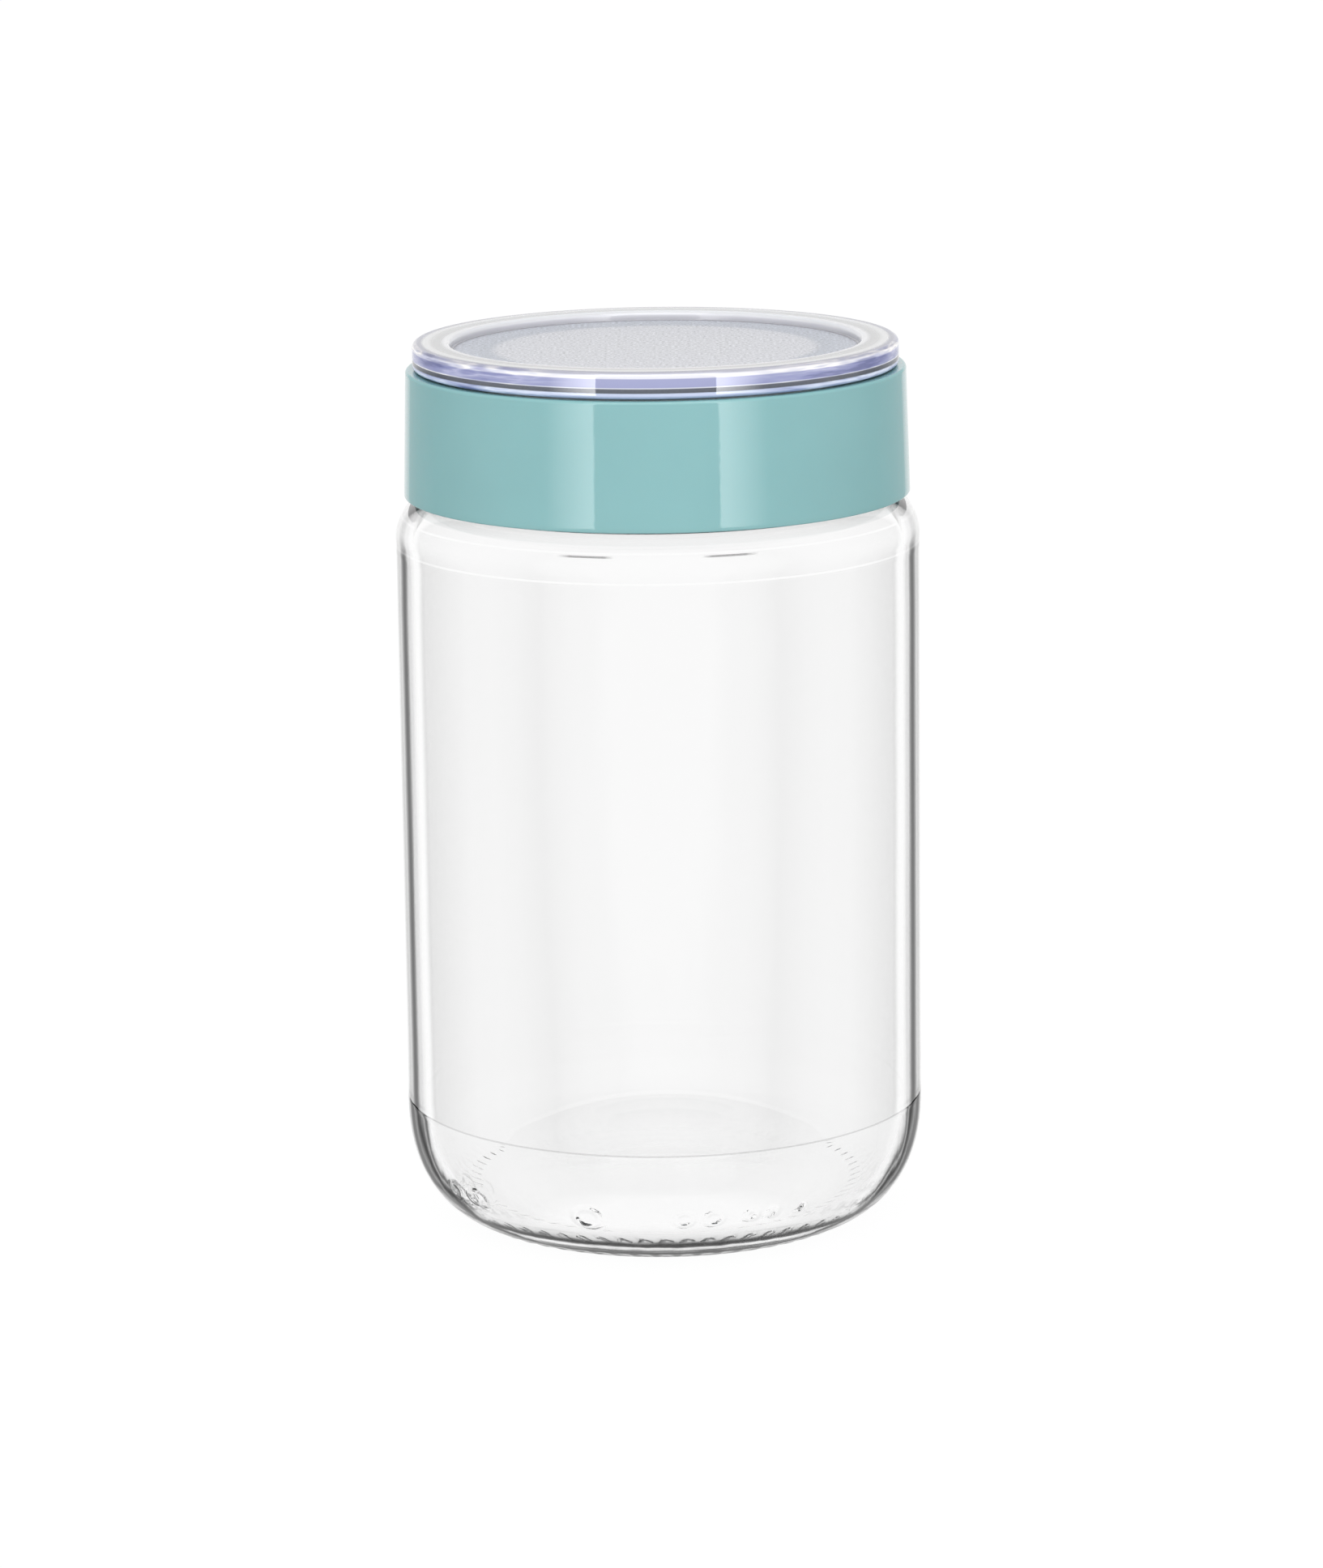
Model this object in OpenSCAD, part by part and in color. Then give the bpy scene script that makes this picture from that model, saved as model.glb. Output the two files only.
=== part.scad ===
// Clear glass jar with a screw band and a snap-in window.
// Millimetres, +Z up, origin at the centre of the ring that the jar stands on.
// The lid unscrews by turning it anticlockwise, seen from above.

/* [Glass jar] */
// Outer diameter of the straight wall
jar_d = 87; // [86:0.5:90]
// Height from the ground to the rim of the mouth
jar_h = 141; // [138:0.5:150]
// Thickness of the straight wall
wall_t = 2.6; // [2:0.1:3]
// Height at which the rounded heel meets the straight wall
heel_h = 20; // [18:0.5:24]
// How square the heel is: 2 is elliptical
heel_power = 2.25; // [2:0.05:2.6]
// Outer radius of the ring that the jar stands on
stand_r = 28.4; // [26:0.2:30]
// Width of that ring
stand_w = 2; // [1:0.5:3]
// Rise of the ground side of the base at its middle
push_up = 3; // [1.5:0.1:3.4]
// Height of the inner floor at its middle
floor_z = 7.2; // [6.5:0.1:9]
// Height of the inner floor's lowest ring
dip_z = 4.2; // [3.8:0.1:5]
// Radius of the shoulder's rounding
shoulder_r = 7; // [6:0.5:8]
// Outer diameter of the neck, without its thread
neck_d = 76.2; // [75.6:0.2:76.4]
// Diameter of the mouth
mouth_d = 70.4; // [69.8:0.2:70.6]

/* [Thread] */
// Number of thread starts
starts = 4; // [3:1:4]
// Rise of the lid in one full turn
lead = 12; // [12:0.5:14]
// How far the glass thread stands out of the neck
thread_h = 1.5; // [1:0.1:1.6]
// Angle that each glass thread spans
thread_span = 115; // [80:5:120]
// Angle that each lug of the band spans
lug_span = 40; // [20:5:60]

/* [Screw band] */
// Outer diameter at the top edge
band_top_d = 82.6; // [82.2:0.1:83.2]
// Outer diameter at the bottom edge
band_low_d = 83.8; // [83.4:0.1:84.6]
// Height of the band's outer wall
band_h = 20.9; // [19:0.1:21]
// Inner diameter of the band's wall
band_bore_d = 80.2; // [80:0.1:80.4]
// Thickness of the flat web across the top
web_t = 1.3; // [1:0.1:1.5]
// Diameter of the hole in the web
web_hole_d = 68; // [67:0.2:68.4]
// Rounding of the band's top edge
lip_r = 0.5; // [0.2:0.1:0.7]

/* [Window insert] */
// Outer diameter of the raised rim
rim_d = 80.2; // [79:0.1:80.8]
// Diameter at the rim's inner edge
rim_inner_d = 67.4; // [66:0.2:69]
// Height of the rim above the web
rim_h = 4.5; // [4:0.1:5]
// Depth of the window below the rim
window_depth = 1.55; // [1:0.05:2]
// Thickness of the window
window_t = 2; // [1.5:0.1:2.3]
// Diameter of the thin middle of the window
window_thin_d = 54; // [40:1:58]

/* [Gasket] */
// Thickness of the seal when squeezed
gasket_t = 1.6; // [1.2:0.1:2]

/* [Hidden] */
$fn = 144;
eps = 0.01;

// Glass radii and heights
jar_r = jar_d / 2;
bore_r = jar_r - wall_t;
neck_r = neck_d / 2;
mouth_r = mouth_d / 2;
rim_round = 1.1;
shoulder_z = band_z() - shoulder_r;
inner_shoulder_r = shoulder_r - wall_t / 2;
dip_r = stand_r + 2;
inner_heel_h = heel_h + 1 - dip_z;
inner_heel_power = 2.2;

// Heights up the lid
gasket_z = jar_h;
web_z = gasket_z + gasket_t;
web_top = web_z + web_t;
function band_z() = jar_h + gasket_t + web_t - band_h;

// Thread sections, as height at the root and at the crest
glass_thread = [1.6, 0.9];
band_thread = [1.2, 0.8];
thread_gap = 0.05;
band_thread_h = 1.5;
thread_low = jar_h - 12;
root_depth = 0.5;
lug_step = 5;
thread_pitch = lead / starts;

// Window insert
neck_gap = 0.1;
insert_neck_r = web_hole_d / 2 - neck_gap;
insert_neck_t = 2.4;
bead_out = 0.5;
bead_h = 0.6;
seat_r = rim_d / 2 - 3;
overhang = 0.4;
rim_edge_r = 0.9;

// Arc of n steps about [x, y] from angle a to angle b
function arc(x, y, r, a, b, n = 10) =
    [for (i = [0:n]) let (t = a + (b - a) * i / n) [x + r * cos(t), y + r * sin(t)]];

// Rounded corner between a vertical wall at radius r and a floor at height z,
// reaching up to height z + h and in to radius r0, from the wall to the floor
function heel(r, r0, z, h, p, n = 18) =
    [for (i = [0:n]) let (t = 90 * i / n)
        [r0 + (r - r0) * pow(cos(t), 2 / p), z + h * (1 - pow(sin(t), 2 / p))]];

// A dome of height h on a ring of radius r at height z, from the middle out
function dome(r, z, h, n = 10) =
    [for (i = [0:n]) [r * i / n, z + h * pow(1 - pow(i / n, 2), 2)]];

// Ends of a thread taper into the root within this angle
function taper(a, span, end = 12) = min(1, a / end, (span - a) / end);

// One ring of a thread's section, at angle a along it
function thread_ring(a, span, r_root, r_crest, section) =
    let (r = r_root + (r_crest - r_root) * (0.3 + 0.7 * taper(a, span)),
         z = lead * a / 360)
    [for (p = [[r_root, -section[0] / 2], [r, -section[1] / 2],
               [r, section[1] / 2], [r_root, section[0] / 2]])
        [p[0] * cos(a), p[0] * sin(a), z + p[1]]];

// A piece of thread that climbs by the lead, starting at angle 0 and height 0
module thread_piece(span, r_root, r_crest, section) {
    n = ceil(span / lug_step);
    points = [for (i = [0:n]) each thread_ring(span * i / n, span, r_root, r_crest, section)];
    sides = [for (i = [0:n - 1], k = [0:3]) let (j = (k + 1) % 4)
        each [[4 * i + k, 4 * i + j, 4 * i + 4 + j], [4 * i + k, 4 * i + 4 + j, 4 * i + 4 + k]]];
    ends = [[3, 2, 1], [3, 1, 0], [4 * n, 4 * n + 1, 4 * n + 2], [4 * n, 4 * n + 2, 4 * n + 3]];
    faces = concat(sides, ends);
    outward = r_crest > r_root;
    polyhedron(points, [for (f = faces) outward ? f : [f[2], f[1], f[0]]]);
}

module threads(z, span, r_root, r_crest, section, turn = 0) {
    for (i = [0:starts - 1])
        rotate([0, 0, turn + 360 * i / starts])
            translate([0, 0, z])
                thread_piece(span, r_root, r_crest, section);
}

module glass_jar() {
    steps = 18;
    outer_heel = heel(jar_r, stand_r, 0, heel_h, heel_power, steps);
    inner_floor = dome(dip_r, dip_z, floor_z - dip_z, steps);
    color([0.9, 0.95, 0.95, 0.35]) {
        rotate_extrude()
            polygon(concat(
                // ground side, from the middle out, then up the heel
                dome(stand_r - stand_w, 0, push_up, steps),
                [for (i = [steps:-1:0]) outer_heel[i]],
                // outer shoulder and neck
                arc(jar_r - shoulder_r, shoulder_z, shoulder_r, 0,
                    acos((neck_r - jar_r + shoulder_r) / shoulder_r)),
                // rim
                arc(neck_r - rim_round, jar_h - rim_round, rim_round, 0, 90, 6),
                arc(mouth_r + rim_round, jar_h - rim_round, rim_round, 90, 180, 6),
                // inner shoulder
                arc(bore_r - inner_shoulder_r, shoulder_z, inner_shoulder_r,
                    acos((mouth_r - bore_r + inner_shoulder_r) / inner_shoulder_r), 0),
                // inner heel and floor
                heel(bore_r, dip_r, dip_z, inner_heel_h, inner_heel_power),
                [for (i = [steps - 1:-1:0]) inner_floor[i]]));
        threads(thread_low, thread_span, neck_r - root_depth, neck_r + thread_h, glass_thread);
    }
}

module screw_band() {
    low_r = band_low_d / 2;
    top_r = band_top_d / 2;
    bore_r = band_bore_d / 2;
    color([0.58, 0.77, 0.78]) {
        rotate_extrude()
            polygon(concat(
                [[bore_r, band_z()], [low_r - 0.3, band_z()], [low_r, band_z() + 0.3]],
                arc(top_r - lip_r, web_top - lip_r, lip_r, 0, 90, 6),
                [[web_hole_d / 2, web_top], [web_hole_d / 2, web_z], [bore_r, web_z]]));
        threads(thread_low - thread_pitch / 2 + thread_gap, lug_span,
            bore_r + root_depth, bore_r - band_thread_h, band_thread);
    }
}

module window_insert() {
    rim_r = rim_d / 2;
    rim_top = web_top + rim_h;
    rim_low = web_top + overhang;
    inner_r = rim_inner_d / 2;
    window_top = rim_top - window_depth;
    window_low = window_top - window_t;
    neck_low = web_z - neck_gap - bead_h - 0.8;
    bead_low = web_z - neck_gap - bead_h;
    neck_in = insert_neck_r - insert_neck_t;
    color([0.8, 0.84, 0.95, 0.4])
        rotate_extrude()
            polygon(concat(
                [[0, window_low], [window_thin_d / 2, window_low], [neck_in, web_z],
                 [neck_in, neck_low], [insert_neck_r - 0.3, neck_low], [insert_neck_r, bead_low - 0.2],
                 [insert_neck_r + bead_out, bead_low + 0.2], [insert_neck_r + bead_out, bead_low + bead_h],
                 [insert_neck_r, bead_low + bead_h], [insert_neck_r, web_top],
                 [seat_r, web_top], [seat_r + 0.4, rim_low]],
                arc(rim_r - 0.6, rim_low + 0.6, 0.6, -90, 0, 5),
                arc(rim_r - rim_edge_r, rim_top - rim_edge_r, rim_edge_r, 0, 90, 7),
                arc(inner_r + 1, rim_top - 1, 1, 90, 180, 6),
                [[inner_r - 0.2, window_top], [0, window_top]]));
}

module gasket() {
    color([0.93, 0.94, 0.93])
        translate([0, 0, gasket_z])
            difference() {
                cylinder(h = gasket_t, r = band_bore_d / 2 - 0.2);
                translate([0, 0, -eps]) cylinder(h = gasket_t + 2 * eps, r = mouth_r - 0.2);
            }
}

glass_jar();
screw_band();
window_insert();
gasket();
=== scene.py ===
"""Looks of a round glass jar with a screw band, a clear window in the lid and a seal.

Sizes are in millimetres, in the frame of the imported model: +Z up, with the origin at the
centre of the ring that the jar stands on. Heights come from the CAD nodes' boxes. Meshes
turn sizes into metres. Lights, the camera and distances in materials are in metres.
"""
import math

import bpy
import numpy as np
from mathutils import Matrix, Vector


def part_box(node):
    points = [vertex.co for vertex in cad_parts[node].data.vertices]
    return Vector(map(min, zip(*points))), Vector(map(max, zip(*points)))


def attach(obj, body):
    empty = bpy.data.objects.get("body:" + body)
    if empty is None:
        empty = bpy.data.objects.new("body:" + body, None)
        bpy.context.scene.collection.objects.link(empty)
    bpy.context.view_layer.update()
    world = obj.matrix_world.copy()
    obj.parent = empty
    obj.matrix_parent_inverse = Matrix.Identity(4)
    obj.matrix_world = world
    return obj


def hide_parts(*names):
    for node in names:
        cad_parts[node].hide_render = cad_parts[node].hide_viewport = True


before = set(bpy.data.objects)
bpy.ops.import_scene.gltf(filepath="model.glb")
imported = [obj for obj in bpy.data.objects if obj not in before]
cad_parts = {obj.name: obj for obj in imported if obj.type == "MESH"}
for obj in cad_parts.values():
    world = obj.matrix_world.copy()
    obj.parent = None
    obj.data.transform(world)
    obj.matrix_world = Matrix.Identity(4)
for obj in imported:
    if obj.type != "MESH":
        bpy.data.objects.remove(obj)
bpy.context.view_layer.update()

MM = 0.001

# ---------------------------------------------------------------- sizes, in mm


def height(node, end):
    """Height of a CAD node's lowest (0) or highest (1) point."""
    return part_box(node)[end].z / MM


JAR_TOP = height("glass_jar", 1)
BAND_LOW = height("screw_band", 0)
BAND_TOP = height("screw_band", 1)
RIM_TOP = height("window_insert", 1)
SEAL_LOW = height("gasket", 0)
SEAL_TOP = height("gasket", 1)

# Glass jar
JAR_R = 43.5
WALL = 2.6
PANEL_INSET = 0.06      # the label panel lies this much inside shoulder and heel
HEEL_H = 20.0
HEEL_POWER = 2.25       # how square the heel is: 2 is elliptical
STAND_R = 28.4          # outer radius and width of the ring that the jar stands on
STAND_W = 2.0
PUSH_UP = 3.0
FLOOR_Z = 7.2           # the inner floor at its middle, and at its lowest ring
DIP_Z = 4.2
DIP_R = 30.4
INNER_POWER = 2.2
SHOULDER_R = 7.0
NECK_R = 38.1
NECK_FILLET = 0.8       # a fillet of this width joins the shoulder to the neck
MOUTH_R = 35.2
GLASS_RIM_R = 1.1       # rounding of the rim
SEAM_Z = 20.9           # where the base mould meets the body mould
SEAM_HALF = 0.3
CENTRE_R = 2.0          # innermost ring of a dome

# Threads: lowest height, angle spanned, how far they stand out, width at root and crest
STARTS = 4
LEAD = 12.0
THREAD_LOW = JAR_TOP - 12.0
GLASS_THREAD = dict(low=THREAD_LOW, span=115.0, out=1.5, root=1.6, crest=0.9)
BAND_THREAD = dict(low=THREAD_LOW - 1.45, span=40.0, out=1.5, root=1.2, crest=0.8)
GLASS_THREAD_ROWS = (-1.0, 5.5)     # heights that a thread may reach, from its lowest
BAND_THREAD_ROWS = (-1.0, 3.0)
THREAD_TAPER = 14.0     # angle in which a thread's ends rise
FLANK_RISE = 0.9        # how steeply a thread's flanks rise

# Screw band
BAND_TOP_R = 41.3
BAND_LOW_R = 41.9
BAND_BORE_R = 40.1
BAND_EDGE_R = 0.25
BAND_FILLET = 0.5       # between the bore and the web
WEB_T = 1.3
WEB_HOLE_R = 34.0
SMALL_EDGE_R = 0.2      # edges of the web's hole and the bore
LIP_R = 0.5

# Window insert
RIM_R = 40.1
RIM_INNER_R = 33.7
RIM_LOW_EDGE_R = 0.6
RIM_TOP_EDGE_R = 0.9
WINDOW_DEPTH = 1.55
WINDOW_T = 2.0
WINDOW_THIN_R = 27.0
OVERHANG = 0.22         # gap between the rim's underside and the web, and its width
OVERHANG_W = 2.5
INSERT_GAP = 0.1
INSERT_NECK_T = 2.4
BEAD_DROP = 0.7         # the snap bead lies this far under the web

# Seal
SEAL_GAP = 0.2
SEAL_EDGE_R = 0.35

# Knurled marks round the standing ring
MARKS = 64
MARKS_IN = 32.6
MARKS_OUT = 36.0
MARK_DEEP = 0.16
MARK_BEND = 2.6         # bends the marks into crescents about their middle
MARK_MIDDLE = 0.4
MARK_ENDS = 3.0         # how quickly they rise from their ends

# Plain raised rings low on the heel: angle from the front in degrees and outer radius
RAISED_RINGS = [(-18, 2.2), (4, 1.7), (10.7, 1.7), (19.5, 1.3), (24.5, 1.1), (32.5, 0.8),
                (-49, 1.7), (-56, 1.7)]
RAISED_Z = 9.8
RAISED_H = 0.2
RAISED_HALF = 0.7       # half width of the line that a ring is drawn with
RAISED_INSET = 0.5      # the line's middle lies this far inside the outer radius
HEEL_DETAIL_TOP = RAISED_Z + 3

COARSE = MARKS * 6      # columns round the jar
FINE = MARKS * 18       # columns where the marks and the raised rings are
LID_COLUMNS = 288
SEAL_COLUMNS = 192

# ----------------------------------------------------------------------- looks

# Painted shade and highlight on the outside of the glass: the light that passes it, by how
# far the surface turns from the eye, dark at the outline with painted bright bands just
# inside it
PAINTED_OUTSIDE_EDGES = [
    (0, 0.965), (0.035, 0.965), (0.055, 0.94), (0.082, 0.93), (0.11, 0.905), (0.132, 0.879),
    (0.16, 0.895), (0.19, 0.915), (0.25, 0.93), (0.34, 0.92), (0.42, 0.87), (0.5, 0.815),
    (0.56, 0.775), (0.575, 0.735), (0.585, 0.77), (0.605, 0.94), (0.62, 0.99), (0.65, 0.98),
    (0.675, 0.84), (0.69, 0.7), (0.715, 0.63), (0.73, 0.42), (0.745, 0.18), (0.765, 0.08),
    (0.785, 0.08), (0.806, 0.2), (0.822, 0.4), (0.84, 0.54), (0.86, 0.45), (0.88, 0.41),
    (0.91, 0.57), (0.96, 0.85)]
# The same painted outline shade and highlight in the heel, and how much of it is used there,
# by height up to FOOT_SPAN
PAINTED_HEEL_EDGES = [
    (0, 0.965), (0.035, 0.965), (0.055, 0.945), (0.082, 0.935), (0.11, 0.92), (0.16, 0.925),
    (0.25, 0.94), (0.34, 0.93), (0.42, 0.9), (0.5, 0.87), (0.56, 0.87), (0.61, 0.97),
    (0.625, 0.93), (0.65, 0.7), (0.668, 0.3), (0.682, 0.12), (0.7, 0.42), (0.72, 0.1),
    (0.736, 0.02), (0.755, 0.05), (0.785, 0.22), (0.81, 0.05), (0.85, 0.02), (0.885, 0.06),
    (0.91, 0.4), (0.95, 0.8)]
HEEL_SHARE = [(0.45, 0.0), (0.8, 1.0)]
# How far the painted outline wanders on the wall, and how much further in the heel
WALL_WANDER = 0.03
HEEL_WANDER = 0.12
# The front of the heel is clearer, as the painted outline shade is lifted there: a share by
# height up to HEEL_SPAN, times a share by how far the surface turns from the eye plus
# CLEAR_TILT for each millimetre of height
HEEL_SPAN = 20.0
CLEAR_HEEL = [(0.69, 0.95), (0.8, 0.0)]
CLEAR_FRONT = [(0.66, 1.0), (0.74, 0.0)]
CLEAR_TILT = 0.04
# The painted outline shade fades at the shoulder, by height up to the jar's rim
SHOULDER_FADE = [(0.812, 0.0), (0.835, 0.6), (0.9, 0.6)]
# Light that passes the foot of the glass, painted as bands of shade with a painted bright
# line, by height up to FOOT_SPAN
FOOT_SPAN = 10.0
FOOT_SHADE = [
    (0.0, 0.05), (0.07, 0.2), (0.13, 0.05), (0.19, 0.35), (0.24, 0.12), (0.3, 0.4),
    (0.34, 0.8), (0.365, 1.0), (0.385, 0.5), (0.41, 0.15), (0.46, 0.14), (0.5, 0.34),
    (0.53, 0.6), (0.59, 0.76), (0.68, 0.88), (0.85, 1.0)]
FOOT_WANDER = 0.7
# Painted lines round the outside, a darker line at the seam and two painted highlight rings
# on the
# shoulder: height, half width and how much more light passes
PAINTED_LINES = [(SEAM_Z, 0.14, -0.2), (115.1, 0.17, 0.1), (119.8, 0.15, 0.08)]
# Dark dashes of painted shade where the inner shoulder starts, two at the front and two at
# the back, by distance to the side up to DASH_SPAN
DASH_Z = 119.3
DASH_HALF = 0.16
DASH_SPAN = 50.0
DASH_ENDS = [(0.14, 0.0), (0.17, 1.0), (0.28, 1.0), (0.32, 0.0)]
DASH_SHADE = 0.5
# Light that passes the inside of the glass. At the back the floor shows as an arch of
# painted shade
# with a painted highlight line: shades by height up to FLOOR_SPAN, which bow by FLOOR_BOW
# times the distance to the side squared and end by that distance, up to FLOOR_SIDE
INSIDE_PLAIN = 0.985
FLOOR_SPAN = 20.0
FLOOR_SHADE = [(0.2, 0.985), (0.34, 0.97), (0.425, 0.94), (0.435, 0.995), (0.455, 0.995),
               (0.465, 0.975), (0.6, 0.985)]
FLOOR_BOW = 0.0036
FLOOR_SIDE = 40.0
FLOOR_ENDS = [(0.5, 1.0), (0.8, 0.0)]
# Least light that passes from inside the glass
LEAVING = 0.99
# The glass is fully clear where CLEAR_GAIN times the light that passes is 1 or more
CLEAR_GAIN = 1.6
GLASS_IOR = 1.5

BAND_COLOURS = [(0.3, (0.146, 0.292, 0.300)), (0.7, (0.155, 0.307, 0.315))]
BAND_GLOSS = [(0.3, 0.5), (0.5, 0.15), (0.8, 0.05), (0.87, 1.0)]

# Colours of the window by radius up to WINDOW_SPAN, and of its wall by height. Both hold
# painted light and shade besides the plastic's own colours: rings of painted highlight and
# shade on the rim and plate, and bands of painted reflection and shade on the wall
WINDOW_SPAN = 50.0
PLATE_COLOURS_AND_PAINTED_RINGS = [
    (0.0, (0.51, 0.515, 0.54)), (0.52, (0.51, 0.515, 0.545)), (0.55, (0.39, 0.41, 0.455)),
    (0.64, (0.44, 0.46, 0.51)), (0.662, (0.44, 0.45, 0.50)), (0.667, (0.26, 0.26, 0.29)),
    (0.671, (0.26, 0.26, 0.29)), (0.674, (0.80, 0.80, 0.82)), (0.694, (0.80, 0.80, 0.82)),
    (0.71, (0.50, 0.50, 0.505)), (0.735, (0.53, 0.53, 0.53)), (0.75, (0.70, 0.70, 0.70)),
    (0.765, (0.70, 0.70, 0.70)), (0.774, (0.32, 0.32, 0.38)), (0.787, (0.36, 0.36, 0.43))]
WALL_COLOURS_AND_PAINTED_BANDS = [
    (0.1, (0.50, 0.56, 0.80)), (0.24, (0.55, 0.62, 0.82)), (0.28, (0.02, 0.03, 0.05)),
    (0.41, (0.05, 0.06, 0.09)), (0.44, (0.70, 0.72, 0.80)), (0.47, (0.29, 0.31, 0.53)),
    (0.76, (0.31, 0.33, 0.55)), (0.80, (0.75, 0.75, 0.82)), (0.89, (0.72, 0.72, 0.78)),
    (0.94, (0.38, 0.38, 0.45)), (1.0, (0.40, 0.40, 0.46))]
WALL_FROM = RIM_R - 0.75            # the wall's colours and painted bands start at this radius
# Streaks of painted highlight and shade on the window's wall, painted reflections of the
# lights
PAINTED_STREAK_COLOURS = [
    (0.36, (0.42, 0.44, 0.62)), (0.44, (0.8, 0.82, 0.95)), (0.5, (1.0, 1.0, 1.0)),
    (0.56, (1.5, 1.45, 1.3)), (0.62, (0.9, 0.92, 1.0)), (0.68, (0.55, 0.56, 0.78))]
PAINTED_STREAK_ENDS = [(0.25, 0.0), (0.5, 1.0)]     # by distance to the side, up to WINDOW_SPAN
GRAIN_TO = RIM_INNER_R - 0.4        # the grain ends at this radius
GRAIN_SPECKLE = 2.2
WINDOW_CLEAR = 0.45                 # the wall and the grained middle are a little cloudy
WALL_CLOUD = 0.1
GRAIN_CLOUD = 0.2
WINDOW_GLOSS = [(0.3, 1.0), (0.55, 0.15)]

SEAL_COLOURS = [(0.3, (0.70, 0.71, 0.70)), (0.7, (0.78, 0.79, 0.78))]
FLOOR_GREYS = [(0.3, 0.03), (0.7, 0.036)]
FLOOR_GLOW = 0.98
WHITE = (1, 1, 1, 1)

# ------------------------------------------------------------------ mesh tools


def arc(r, z, radius, start, end, steps):
    """Points of an arc about (r, z), with its angles in degrees."""
    angles = np.radians(np.linspace(start, end, steps + 1))
    return [(r + radius * math.cos(a), z + radius * math.sin(a)) for a in angles]


def line(start, end, steps):
    """Points from start to end, both included."""
    return [tuple(p) for p in np.linspace(start, end, steps + 1)]


def heel(r, r0, z, h, power, steps):
    """A rounded corner from the foot at (r0, z) up to the wall at (r, z + h)."""
    points = []
    for a in np.radians(np.linspace(90, 0, steps + 1)):
        across, up = abs(math.cos(a)) ** (2 / power), abs(math.sin(a)) ** (2 / power)
        points.append((r0 + (r - r0) * across, z + h * (1 - up)))
    return points


def dome(radii, r0, z, h):
    """Points at some radii of a soft dome of height h on a ring of radius r0 at height z."""
    return [(r, z + h * (1 - (r / r0) ** 2) ** 2) for r in radii]


def ring(row, columns, relief):
    """The points of one row (r, z) turned round the axis, moved by relief."""
    angle = np.linspace(0, 2 * math.pi, columns, endpoint=False)
    r, z = row
    if relief:
        out, up = relief(r, z, angle)
        r, z = r + out, z + up
    r, z = np.broadcast_to(r, angle.shape), np.broadcast_to(z, angle.shape)
    return np.stack([r * np.cos(angle), r * np.sin(angle), z], axis=1) * MM


def strip(a, count_a, b, count_b):
    """Faces between two rings that start at points a and b, facing outwards."""
    if count_a == 1:
        return [(int(a), int(b + (j + 1) % count_b), int(b + j)) for j in range(count_b)]
    if count_b == 1:
        return [(int(a + j), int(a + (j + 1) % count_a), int(b)) for j in range(count_a)]
    few = min(count_a, count_b)
    step_a, step_b = count_a // few, count_b // few
    faces = []
    for j in range(few):
        one = [int(a + (j * step_a + k) % count_a) for k in range(step_a + 1)]
        two = [int(b + (j * step_b + k) % count_b) for k in range(step_b + 1)]
        faces.append(tuple(one + two[::-1]))
    return faces


def lathe(name, rows, columns, relief=None, fine=(), closed=False):
    """Turns rows of (r, z) round the axis. Rows numbered in fine have FINE columns.

    A row on the axis is one point. closed joins the last row to the first.
    """
    points, counts = [], []
    for i, row in enumerate(rows):
        if row[0] < 1e-6:
            points.append(np.array([[0, 0, row[1] * MM]]))
        else:
            points.append(ring(row, FINE if i in fine else columns, relief))
        counts.append(len(points[-1]))
    starts = np.concatenate([[0], np.cumsum(counts)])
    pairs = [(i, i + 1) for i in range(len(rows) - 1)]
    if closed:
        pairs.append((len(rows) - 1, 0))
    faces = []
    for a, b in pairs:
        faces += strip(starts[a], counts[a], starts[b], counts[b])
    mesh = bpy.data.meshes.new(name)
    mesh.from_pydata(np.concatenate(points).tolist(), [], faces)
    mesh.validate()
    mesh.update()
    mesh.shade_smooth()
    piece = bpy.data.objects.new(name, mesh)
    bpy.context.collection.objects.link(piece)
    return piece


def smooth(x):
    """0 below 0, 1 above 1 and a soft step between."""
    x = np.clip(x, 0, 1)
    return x * x * (3 - 2 * x)


def thread(z, angle, low, span, out, root, crest):
    """How far the threads stand out at height z, for each angle."""
    before = 60     # angles up to this far before a thread's start are negative
    best = np.zeros_like(angle)
    for start in range(STARTS):
        along = np.degrees(angle) - 360 * start / STARTS
        along = np.mod(along + before, 360) - before
        centre = low + LEAD * along / 360
        flank = smooth((root / 2 - abs(z - centre)) / ((root - crest) / 2) * FLANK_RISE)
        ends = smooth(np.minimum(along, span - along) / THREAD_TAPER)
        best = np.maximum(best, out * flank * ends)
    return best


# ------------------------------------------------------------------ node tools


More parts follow.
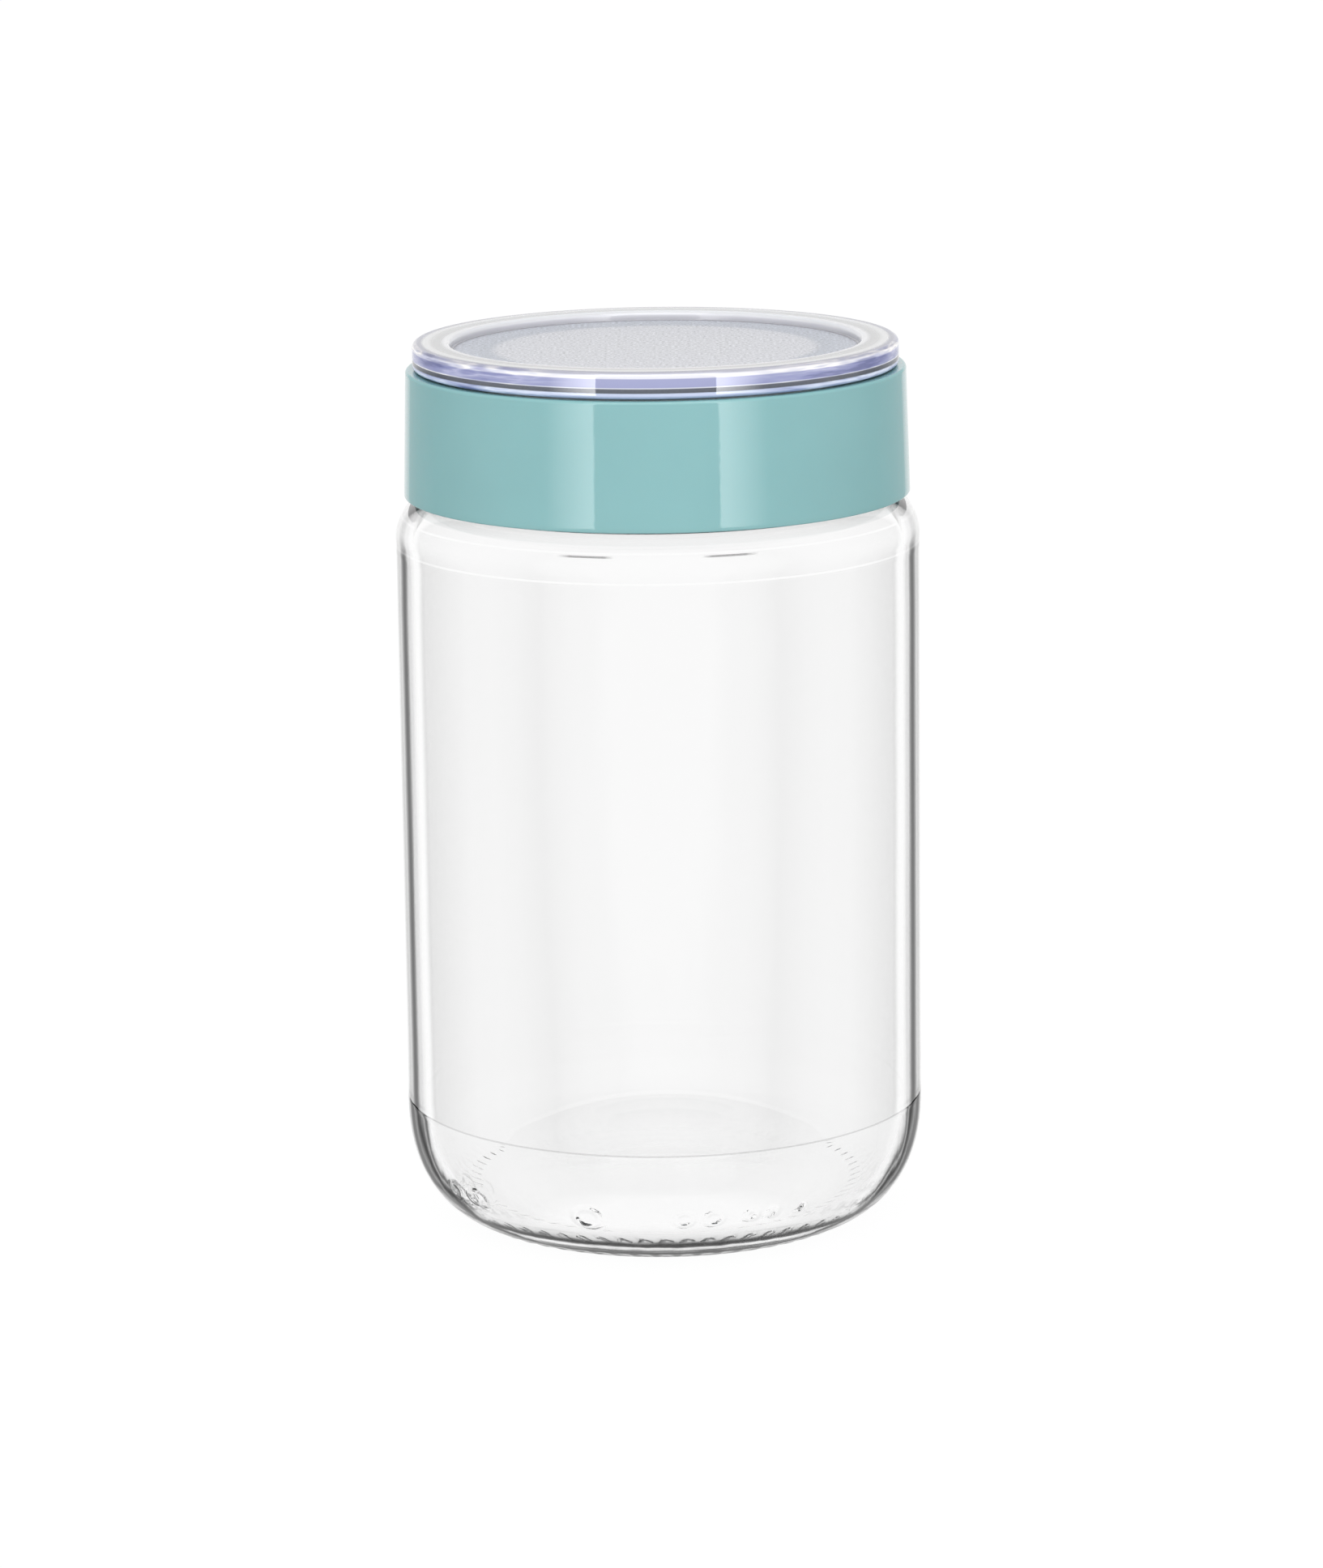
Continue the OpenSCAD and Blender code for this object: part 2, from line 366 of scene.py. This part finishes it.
class Nodes:
    """A short way to write a material's, a light's or a world's nodes."""

    def __init__(self, name, tree=None):
        self.material = None
        if tree is None:
            self.material = bpy.data.materials.new(name)
            self.material.use_nodes = True
            tree = self.material.node_tree
        self.tree = tree
        self.tree.nodes.clear()

    def add(self, kind, inputs=None, **settings):
        """A node. Its inputs are numbers, colours or other nodes' outputs."""
        node = self.tree.nodes.new("ShaderNode" + kind)
        for key, value in settings.items():
            setattr(node, key, value)
        for key, value in (inputs or {}).items():
            if isinstance(value, bpy.types.NodeSocket):
                self.tree.links.new(value, node.inputs[key])
            else:
                node.inputs[key].default_value = value
        return node

    def output(self, kind, shader):
        """Links a shader to the tree's output and gives the material."""
        self.add(kind, {"Surface": shader.outputs[0]})
        return self.material

    def principled(self, inputs):
        return self.output("OutputMaterial", self.add("BsdfPrincipled", inputs))

    def math(self, operation, a, b=0.0):
        return self.add("Math", {0: a, 1: b}, operation=operation).outputs[0]

    def plus(self, a, b):
        return self.math("ADD", a, b)

    def minus(self, a, b):
        return self.math("SUBTRACT", a, b)

    def times(self, a, b):
        return self.math("MULTIPLY", a, b)

    def over(self, a, b):
        return self.math("DIVIDE", a, b)

    def lift(self, value, share):
        """Moves a value towards 1, by a share of what it lacks."""
        return self.plus(value, self.times(self.minus(1.0, value), share))

    def near(self, value, centre, half):
        """1 within half of the centre and 0 further away."""
        away = self.math("ABSOLUTE", self.minus(value, centre))
        return self.math("LESS_THAN", away, half)

    def ramp(self, value, stops):
        """A colour ramp from (position, colour) pairs; a number is a grey."""
        node = self.add("ValToRGB", {"Fac": value})
        elements = node.color_ramp.elements
        while len(elements) < len(stops):
            elements.new(0.5)
        for element, (position, colour) in zip(elements, stops):
            element.position = position
            if not hasattr(colour, "__len__"):
                colour = (colour,) * 3
            element.color = (*colour, 1)
        return node.outputs["Color"]

    def mix(self, factor, a, b):
        """The number a where factor is 0 and b where it is 1."""
        return self.add("Mix", {0: factor, 2: a, 3: b}).outputs[0]

    def mix_colours(self, factor, a, b, blend="MIX"):
        return self.add("Mix", {0: factor, 6: a, 7: b}, data_type="RGBA",
                        blend_type=blend).outputs[2]

    def place(self):
        """Where a point is on the object, in metres."""
        return self.add("TexCoord").outputs["Object"]

    def xyz(self):
        return self.add("SeparateXYZ", {"Vector": self.place()}).outputs

    def facing(self):
        """0 where the surface faces the eye and 1 at its outline."""
        return self.add("LayerWeight", {"Blend": 0.5}).outputs["Facing"]

    def noise(self, scale, detail=3.0, roughness=0.5, stretch=(1, 1, 1)):
        mapped = self.add("Mapping", {"Vector": self.place(), "Scale": stretch}).outputs[0]
        return self.add("TexNoise", {"Vector": mapped, "Scale": scale, "Detail": detail,
                                     "Roughness": roughness}).outputs["Fac"]

    def bump(self, value, strength, distance):
        return self.add("Bump", {"Height": value, "Strength": strength,
                                 "Distance": distance}).outputs["Normal"]


# ------------------------------------------------------------------- materials


def painted_outside(n, z):
    """Light that passes the outer skin of the glass, painted as shade and highlight: dark at
    its outline, foot and seam.
    """
    # painted outline shade and highlight, by how far the surface turns from the eye
    facing = n.facing()
    low = n.math("LESS_THAN", z, SEAM_Z)
    streaks = n.minus(n.noise(150, 4, 0.6, stretch=(1, 1, 0.12)), 0.5)
    swing = n.times(streaks, n.plus(n.times(low, HEEL_WANDER), WALL_WANDER))
    turned = n.plus(facing, swing)
    in_heel = n.times(low, n.ramp(n.over(z, FOOT_SPAN), HEEL_SHARE))
    edge = n.mix(in_heel, n.ramp(turned, PAINTED_OUTSIDE_EDGES), n.ramp(turned, PAINTED_HEEL_EDGES))

    front = n.ramp(n.plus(facing, n.times(z, CLEAR_TILT)), CLEAR_FRONT)
    edge = n.lift(edge, n.times(n.ramp(n.over(z, HEEL_SPAN), CLEAR_HEEL), front))
    edge = n.lift(edge, n.ramp(n.over(z, JAR_TOP), SHOULDER_FADE))

    # painted shade bands and a painted bright line at the foot
    wander = n.times(n.minus(n.noise(260, 2, stretch=(1, 1, 3)), 0.5), FOOT_WANDER)
    foot = n.ramp(n.over(n.plus(z, wander), FOOT_SPAN), FOOT_SHADE)
    passes = n.math("MINIMUM", edge, foot)
    # a darker line at the seam and painted highlight rings on the shoulder
    for line_z, half, more in PAINTED_LINES:
        passes = n.plus(passes, n.times(n.near(z, line_z, half), more))

    # painted shade: dark dashes on the shoulder
    aside = n.over(n.math("ABSOLUTE", n.xyz()["X"]), MM)
    dash = n.times(n.ramp(n.over(aside, DASH_SPAN), DASH_ENDS), n.near(z, DASH_Z, DASH_HALF))
    return n.times(passes, n.minus(1.0, n.times(dash, DASH_SHADE)))


def painted_inside(n, z):
    """Light that passes the inner skin of the glass, with the floor's arch at the back
    painted as shade and a highlight line.
    """
    x, y, _ = n.xyz()
    bow = n.times(n.times(x, x), FLOOR_BOW / MM ** 2)
    # painted shade and highlight line of the floor's arch, on the back half only
    arch = n.ramp(n.over(n.plus(z, bow), FLOOR_SPAN), FLOOR_SHADE)
    ends = n.ramp(n.over(n.math("ABSOLUTE", x), FLOOR_SIDE * MM), FLOOR_ENDS)
    behind = n.times(ends, n.math("GREATER_THAN", y, 0.0))
    plain = n.times(n.minus(1.0, behind), INSIDE_PLAIN)
    return n.plus(plain, n.times(arch, behind))


def glass_material(name, skin):
    """Clear glass with painted shade and highlights. skin gives the light that passes,
    painted from height in millimetres.
    """
    n = Nodes(name)
    waves = n.noise(38, 2, stretch=(1, 1, 0.35))
    passes = skin(n, n.over(n.xyz()["Z"], MM))
    # only light that enters the glass here is dimmed, not light inside it
    inside = n.add("NewGeometry").outputs["Backfacing"]
    passes = n.math("MAXIMUM", passes, n.times(inside, LEAVING))
    clear = n.math("MINIMUM", n.times(passes, CLEAR_GAIN), 1.0)
    return n.principled({
        "Base Color": n.times(passes, passes), "Roughness": 0.0, "IOR": GLASS_IOR,
        "Transmission Weight": clear, "Specular IOR Level": n.times(clear, 0.5),
        "Normal": n.bump(waves, 0.06, 0.0004)})


def band_material():
    """Glossy opaque plastic, faintly cloudy, with a little orange peel."""
    n = Nodes("band_plastic")
    return n.principled({
        "Base Color": n.ramp(n.noise(60, 4), BAND_COLOURS),
        "Roughness": n.plus(n.times(n.noise(420, 3), 0.05), 0.03), "IOR": 1.5,
        "Specular IOR Level": n.ramp(n.facing(), BAND_GLOSS),
        "Subsurface Weight": 0.05, "Subsurface Scale": 0.002,
        "Normal": n.bump(n.noise(900, 2), 0.04, 0.0002)})


def window_material():
    """Clear plastic with a blue cast in its wall, painted highlight and shade on its wall
    and rim, and a grained middle.
    """
    n = Nodes("window_plastic")
    x, y, z = n.xyz()
    radius = n.math("SQRT", n.plus(n.times(x, x), n.times(y, y)))
    radius = n.over(radius, WINDOW_SPAN * MM)
    grain = n.noise(1900, 2, 0.75)
    grained = n.math("LESS_THAN", radius, GRAIN_TO / WINDOW_SPAN)
    speckle = n.times(n.minus(grain, 0.5), GRAIN_SPECKLE)
    bright = n.plus(1.0, n.times(speckle, grained))
    # rings of painted highlight and shade on the rim top and the plate
    plate = n.add("VectorMath", {0: n.ramp(radius, PLATE_COLOURS_AND_PAINTED_RINGS), "Scale": bright},
                  operation="SCALE").outputs[0]

    # long streaks of painted highlight and shade, painted reflections of the lights, run
    # round the wall, towards its sides
    streaks = n.ramp(n.noise(60, 3, 0.6, stretch=(1, 1, 9)), PAINTED_STREAK_COLOURS)
    aside = n.ramp(n.over(n.math("ABSOLUTE", x), WINDOW_SPAN * MM), PAINTED_STREAK_ENDS)
    streaks = n.mix_colours(aside, WHITE, streaks)
    # bands of painted reflection and shade up the wall, by height
    up = n.over(n.minus(z, BAND_TOP * MM), (RIM_TOP - BAND_TOP) * MM)
    wall = n.mix_colours(1.0, n.ramp(up, WALL_COLOURS_AND_PAINTED_BANDS), streaks, "MULTIPLY")
    outer = n.math("GREATER_THAN", radius, WALL_FROM / WINDOW_SPAN)

    clouded = n.plus(n.times(outer, WALL_CLOUD), n.times(grained, GRAIN_CLOUD))
    gloss = n.ramp(n.facing(), WINDOW_GLOSS)
    return n.principled({
        "Base Color": n.mix_colours(outer, plate, wall),
        "Roughness": n.times(grained, 0.35), "IOR": 1.49,
        "Specular IOR Level": n.times(gloss, 0.5),
        "Transmission Weight": n.minus(WINDOW_CLEAR, clouded),
        "Normal": n.bump(grain, n.times(grained, 0.5), 0.0002),
        "Coat Weight": n.times(gloss, outer), "Coat IOR": 1.7})


def seal_material():
    """Matt pale rubber."""
    n = Nodes("gasket_rubber")
    grain = n.noise(700, 4, 0.6)
    return n.principled({
        "Base Color": n.ramp(grain, SEAL_COLOURS), "Roughness": 0.62,
        "Subsurface Weight": 0.1, "Subsurface Scale": 0.002,
        "Normal": n.bump(grain, 0.2, 0.0002)})


def floor_material():
    """A white floor that glows, so that only a faint shadow shows on it."""
    n = Nodes("studio_floor")
    return n.principled({
        "Base Color": n.ramp(n.noise(3, 2), FLOOR_GREYS), "Roughness": 0.8,
        "Specular IOR Level": 0.0, "Emission Color": WHITE,
        "Emission Strength": FLOOR_GLOW})


# ---------------------------------------------------------------------- pieces


def carries(r, z, wall_r, low, reach):
    """Whether a row lies on a wall of radius wall_r and within reach of its threads."""
    return abs(r - wall_r) < 0.01 and low + reach[0] < z < low + reach[1]


def marks(r, angle):
    """Grooves between the crescents round the standing ring, as a push upwards."""
    along = (r - MARKS_IN) / (MARKS_OUT - MARKS_IN)
    if not 0 < along < 1:
        return np.zeros_like(angle)
    wave = 0.5 + 0.5 * np.cos(MARKS * angle + MARK_BEND * (along - MARK_MIDDLE) ** 2)
    return MARK_DEEP * smooth(wave) * float(smooth(min(along, 1 - along) * MARK_ENDS))


def raised_rings(r, z, angle):
    """The raised rings on the heel, as a push outwards."""
    wider, flatter = 1.25, 1.06
    push = np.zeros_like(angle)
    for turn, size in RAISED_RINGS:
        aside = (angle - math.radians(turn - 90) + math.pi) % (2 * math.pi) - math.pi
        away = np.hypot(r * aside / wider, (z - RAISED_Z) * flatter)
        drawn = smooth(1 - abs(away - size + RAISED_INSET) / RAISED_HALF)
        push = np.maximum(push, RAISED_H * drawn)
    return push


def glass_relief(r, z, angle):
    """Moulded threads, marks and raised rings, as pushes outwards and upwards."""
    nothing = np.zeros_like(angle)
    if carries(r, z, NECK_R, THREAD_LOW, GLASS_THREAD_ROWS):
        return thread(z, angle, **GLASS_THREAD), nothing
    if MARKS_IN < r < JAR_R and z < HEEL_DETAIL_TOP:
        push = raised_rings(r, z, angle)
        out, down = 0.9, 0.4    # the heel slopes here
        return out * push, marks(r, angle) - down * push
    return nothing, nothing


def glass_body():
    """The jar, from the ground side up the outside and down the inside."""
    shoulder_z = BAND_LOW - SHOULDER_R
    panel_r = JAR_R - PANEL_INSET
    bore_r = JAR_R - WALL
    inner_r = SHOULDER_R - WALL / 2
    rim_z = JAR_TOP - GLASS_RIM_R

    # ground side: the pushed-up middle of the base, the standing ring and the heel
    foot = STAND_R - STAND_W
    rows = [(0, PUSH_UP)]
    rows += dome(np.linspace(CENTRE_R, foot, 30), foot, 0, PUSH_UP)
    first_fine = len(rows) - 3
    rows += line((foot + 0.2, 0), (STAND_R - 0.2, 0), 8)
    rows += heel(JAR_R, STAND_R, 0, HEEL_H, HEEL_POWER, 72)
    fine = {i for i, (r, z) in enumerate(rows)
            if i >= first_fine and r < JAR_R and z < HEEL_DETAIL_TOP}
    # a shallow groove at the seam, then the label panel
    rows += [(JAR_R, SEAM_Z - SEAM_HALF), (JAR_R - 0.04, SEAM_Z),
             (JAR_R - 0.02, SEAM_Z + SEAM_HALF), (panel_r, SEAM_Z + 3)]
    rows += line((panel_r, 26), (panel_r, shoulder_z - 2.2), 10)
    rows += [(panel_r + 0.05, shoulder_z - 1.6), (JAR_R - 0.05, shoulder_z - 0.7)]

    # outer shoulder, neck and rim
    end = math.acos((NECK_R + NECK_FILLET - JAR_R + SHOULDER_R) / SHOULDER_R)
    rows += arc(JAR_R - SHOULDER_R, shoulder_z, SHOULDER_R, 0, math.degrees(end), 16)
    root_z = rows[-1][1]
    rows += [(NECK_R + 0.35, root_z + 0.45), (NECK_R + 0.06, root_z + 0.95)]
    rows += line((NECK_R, root_z + 1.6), (NECK_R, THREAD_LOW - 1.1), 2)
    rows += line((NECK_R, THREAD_LOW - 0.9), (NECK_R, THREAD_LOW + 5.2), 30)
    rows += [(NECK_R, THREAD_LOW + 6)]
    rows += arc(NECK_R - GLASS_RIM_R, rim_z, GLASS_RIM_R, 0, 90, 7)
    rows += arc(MOUTH_R + GLASS_RIM_R, rim_z, GLASS_RIM_R, 90, 180, 7)

    # inner neck, shoulder, wall, heel and floor
    start = math.acos((MOUTH_R - bore_r + inner_r) / inner_r)
    rows += line((MOUTH_R, JAR_TOP - 3), (MOUTH_R, shoulder_z + inner_r + 1.2), 3)
    rows += arc(bore_r - inner_r, shoulder_z, inner_r, math.degrees(start), 0, 14)
    rows += line((bore_r, shoulder_z - 3), (bore_r, HEEL_H + 2), 10)
    rows += heel(bore_r, DIP_R, DIP_Z, HEEL_H + 1 - DIP_Z, INNER_POWER, 48)[::-1]
    rows += dome(np.linspace(DIP_R - 0.5, CENTRE_R, 36), DIP_R, DIP_Z, FLOOR_Z - DIP_Z)
    rows += [(0, FLOOR_Z)]

    piece = lathe("glass_body", rows, COARSE, glass_relief, fine)
    piece.data.materials.append(glass_material("jar_glass_outside", painted_outside))
    piece.data.materials.append(glass_material("jar_glass_inside", painted_inside))
    for face in piece.data.polygons:
        r, z = face.center.xy.length / MM, face.center.z / MM
        under = r < STAND_R + 1
        inner = z > PUSH_UP + 0.2 and r < bore_r + 0.05 and face.normal.z > -0.01
        neck = z > shoulder_z and r > MOUTH_R + GLASS_RIM_R + 0.1
        face.material_index = int(under or inner and not neck and z < rim_z)
    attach(piece, "jar")
    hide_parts("glass_jar")
    return piece


def band_relief(r, z, angle):
    """The band's thread lugs, as a push inwards."""
    nothing = np.zeros_like(angle)
    if carries(r, z, BAND_BORE_R, BAND_THREAD["low"], BAND_THREAD_ROWS):
        return -thread(z, angle, **BAND_THREAD), nothing
    return nothing, nothing


def band_shell():
    """The screw band: a wall with lugs inside and a web with a hole across its top."""
    web = BAND_TOP - WEB_T
    low = BAND_THREAD["low"]
    edge = SMALL_EDGE_R
    # outer wall
    rows = arc(BAND_LOW_R - BAND_EDGE_R, BAND_LOW + BAND_EDGE_R, BAND_EDGE_R, -90, 0, 4)
    rows += line((BAND_LOW_R - 0.03, BAND_LOW + 1), (BAND_TOP_R + 0.02, BAND_TOP - 1.2), 6)
    rows += arc(BAND_TOP_R - LIP_R, BAND_TOP - LIP_R, LIP_R, 0, 90, 8)
    # web and its hole
    rows += line((BAND_TOP_R - 1, BAND_TOP), (WEB_HOLE_R + 0.5, BAND_TOP), 4)
    rows += arc(WEB_HOLE_R + edge, BAND_TOP - edge, edge, 90, 180, 3)
    rows += arc(WEB_HOLE_R + edge, web + edge, edge, 180, 270, 3)
    rows += line((WEB_HOLE_R + 0.6, web), (BAND_BORE_R - 0.9, web), 4)
    # bore
    rows += arc(BAND_BORE_R - BAND_FILLET, web - BAND_FILLET, BAND_FILLET, 90, 0, 5)
    rows += line((BAND_BORE_R, web - 1), (BAND_BORE_R, low + 3), 3)
    rows += line((BAND_BORE_R, low + 2.4), (BAND_BORE_R, low - 0.9), 22)
    rows += line((BAND_BORE_R, low - 1.5), (BAND_BORE_R, BAND_LOW + 0.3), 4)
    rows += arc(BAND_BORE_R + edge, BAND_LOW + edge, edge, 180, 270, 3)
    piece = lathe("band_shell", rows, LID_COLUMNS, band_relief, closed=True)
    piece.data.materials.append(band_material())
    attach(piece, "lid")
    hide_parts("screw_band")
    return piece


def window_disc():
    """The window with its raised rim above the web and its snap-in neck below."""
    neck_r = WEB_HOLE_R - INSERT_GAP
    neck_in = neck_r - INSERT_NECK_T
    web = BAND_TOP - WEB_T
    top = RIM_TOP - WINDOW_DEPTH
    low = top - WINDOW_T
    rim_low = BAND_TOP + OVERHANG
    over_r = RIM_R - OVERHANG_W
    bead = web - BEAD_DROP
    # underside of the window and inside of the neck
    rows = [(0, low)]
    rows += line((4, low), (WINDOW_THIN_R - 0.4, low), 4)
    rows += line((WINDOW_THIN_R + 0.2, low - 0.1), (neck_in - 0.3, web + 0.1), 5)
    rows += line((neck_in, web - 0.2), (neck_in, bead - 0.5), 3)
    # lower edge of the neck, snap bead and outside of the neck
    rows += arc(neck_in + 0.3, bead - 0.5, 0.3, 180, 270, 4)
    rows += arc(neck_r - 0.4, bead - 0.4, 0.4, -90, 0, 4)
    rows += [(neck_r + 0.2, bead + 0.05)]
    rows += arc(neck_r + 0.3, bead + 0.35, 0.2, -60, 80, 6)
    rows += [(neck_r + 0.05, bead + 0.6), (neck_r, bead + 0.75), (neck_r, BAND_TOP - 0.2),
             (neck_r + 0.15, BAND_TOP - 0.02), (neck_r + 0.4, BAND_TOP)]
    # seat on the web and overhang
    rows += line((neck_r + 1, BAND_TOP), (over_r - 0.6, BAND_TOP), 2)
    rows += [(over_r - 0.4, BAND_TOP + 0.08), (over_r - 0.2, rim_low - 0.08),
             (over_r, rim_low)]
    # raised rim and top of the window
    rows += arc(RIM_R - RIM_LOW_EDGE_R, rim_low + RIM_LOW_EDGE_R, RIM_LOW_EDGE_R, -90, 0, 8)
    rows += line((RIM_R, rim_low + 1.2), (RIM_R - 0.02, RIM_TOP - 1.3), 3)
    rows += arc(RIM_R - RIM_TOP_EDGE_R, RIM_TOP - RIM_TOP_EDGE_R, RIM_TOP_EDGE_R, 0, 84, 9)
    rows += line((RIM_R - 1.6, RIM_TOP - 0.01), (RIM_INNER_R + 1.8, RIM_TOP - 0.01), 4)
    rows += arc(RIM_INNER_R + 1, RIM_TOP - 1, 1, 92, 175, 8)
    rows += arc(RIM_INNER_R - 0.3, top + 0.25, 0.25, 0, -90, 4)
    rows += line((RIM_INNER_R - 0.9, top), (4, top), 8)
    rows += [(0, top)]
    piece = lathe("window_disc", rows, LID_COLUMNS)
    piece.data.materials.append(window_material())
    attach(piece, "lid")
    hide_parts("window_insert")
    return piece


def seal_ring():
    """The flat seal between the glass rim and the web."""
    edge = SEAL_EDGE_R
    inner, outer = MOUTH_R - SEAL_GAP, BAND_BORE_R - SEAL_GAP
    rows = arc(inner + edge, SEAL_LOW + edge, edge, 180, 270, 4)
    rows += line((inner + 1, SEAL_LOW), (outer - 1, SEAL_LOW), 4)
    rows += arc(outer - edge, SEAL_LOW + edge, edge, -90, 0, 4)
    rows += arc(outer - edge, SEAL_TOP - edge, edge, 0, 90, 4)
    rows += line((outer - 1, SEAL_TOP), (inner + 1, SEAL_TOP), 4)
    rows += arc(inner + edge, SEAL_TOP - edge, edge, 90, 180, 4)
    piece = lathe("seal_ring", rows, SEAL_COLUMNS, closed=True)
    piece.data.materials.append(seal_material())
    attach(piece, "seal")
    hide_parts("gasket")
    return piece


# ---------------------------------------------------------------------- studio


def make_floor():
    size, drop = 12.0, 0.0001
    mesh = bpy.data.meshes.new("studio_floor")
    corners = [(-size, -size, 0), (size, -size, 0), (size, size, 0), (-size, size, 0)]
    mesh.from_pydata(corners, [], [(0, 1, 2, 3)])
    floor = bpy.data.objects.new("studio_floor", mesh)
    bpy.context.collection.objects.link(floor)
    floor.location.z = -drop
    mesh.materials.append(floor_material())


def area_light(name, place, aim, size, power):
    """A rectangular light that isn't seen, not even through the glass."""
    data = bpy.data.lights.new(name, "AREA")
    data.shape = "RECTANGLE"
    data.size, data.size_y = size
    data.energy = power
    light = bpy.data.objects.new(name, data)
    bpy.context.collection.objects.link(light)
    light.location = place
    direction = Vector(aim) - light.location
    light.rotation_euler = direction.to_track_quat("-Z", "Y").to_euler()
    light.visible_camera = False
    light.visible_transmission = False
    return light


def fade_light(light, stops):
    """Lets a light fade across its width."""
    light.data.use_nodes = True
    n = Nodes(light.name, light.data.node_tree)
    across = n.add("NewGeometry").outputs["Parametric"]
    along = n.add("SeparateXYZ", {"Vector": across}).outputs["X"]
    glow = n.add("Emission", {"Color": WHITE, "Strength": n.ramp(along, stops)})
    n.output("OutputLight", glow)


def make_lights(lid):
    """Two softboxes and a top light that only reach the lid, and a soft fill light."""
    lid_only = bpy.data.collections.new("lid_only")
    for piece in lid:
        lid_only.objects.link(piece)

    turn, away, box_z = math.radians(38), 0.46, 0.36
    softboxes = [(-1, "left_softbox", [(0.0, 0.0), (0.8, 0.85), (1.0, 1.0)]),
                 (1, "right_softbox", [(0.0, 1.0), (0.2, 0.85), (1.0, 0.0)])]
    for side, name, fade in softboxes:
        place = (side * math.sin(turn) * away, -math.cos(turn) * away, box_z)
        box = area_light(name, place, (0, 0, box_z), (0.18, 0.66), 1.5)
        fade_light(box, fade)
        box.light_linking.receiver_collection = lid_only
    above = area_light("top_light", (0, -0.3, 0.85), (0, 0, 0.14), (0.55, 0.55), 2.4)
    above.light_linking.receiver_collection = lid_only
    fill = area_light("front_fill", (0, -1.3, 0.9), (0, 0, 0.1), (1.0, 0.8), 6)
    fill.visible_glossy = False


def make_world():
    world = bpy.data.worlds.new("studio")
    bpy.context.scene.world = world
    world.use_nodes = True
    n = Nodes("studio", world.node_tree)
    n.output("OutputWorld", n.add("Background", {"Color": WHITE, "Strength": 1.0}))


def make_camera():
    """The camera stands in front of the jar and looks down on it a little."""
    aside, distance, rise, pitch, roll = 0.0001, 0.87805, 0.2692, 0.2197, -0.0127
    data = bpy.data.cameras.new("camera")
    data.lens = 123.1
    data.sensor_width = 36
    camera = bpy.data.objects.new("camera", data)
    bpy.context.collection.objects.link(camera)
    camera.matrix_world = (
        Matrix.Translation((aside, -distance, rise))
        @ Matrix.Rotation(math.pi / 2 - pitch, 4, "X")
        @ Matrix.Rotation(roll, 4, "Z"))
    bpy.context.scene.camera = camera


make_camera()
make_world()
make_floor()
glass_body()
lid = [band_shell(), window_disc()]
seal_ring()
make_lights(lid)

scene = bpy.context.scene
scene.view_settings.view_transform = "Standard"
# light meets many surfaces of glass before it leaves the jar
scene.cycles.max_bounces = 48
scene.cycles.transmission_bounces = 48
scene.cycles.glossy_bounces = 24
scene.cycles.transparent_max_bounces = 16
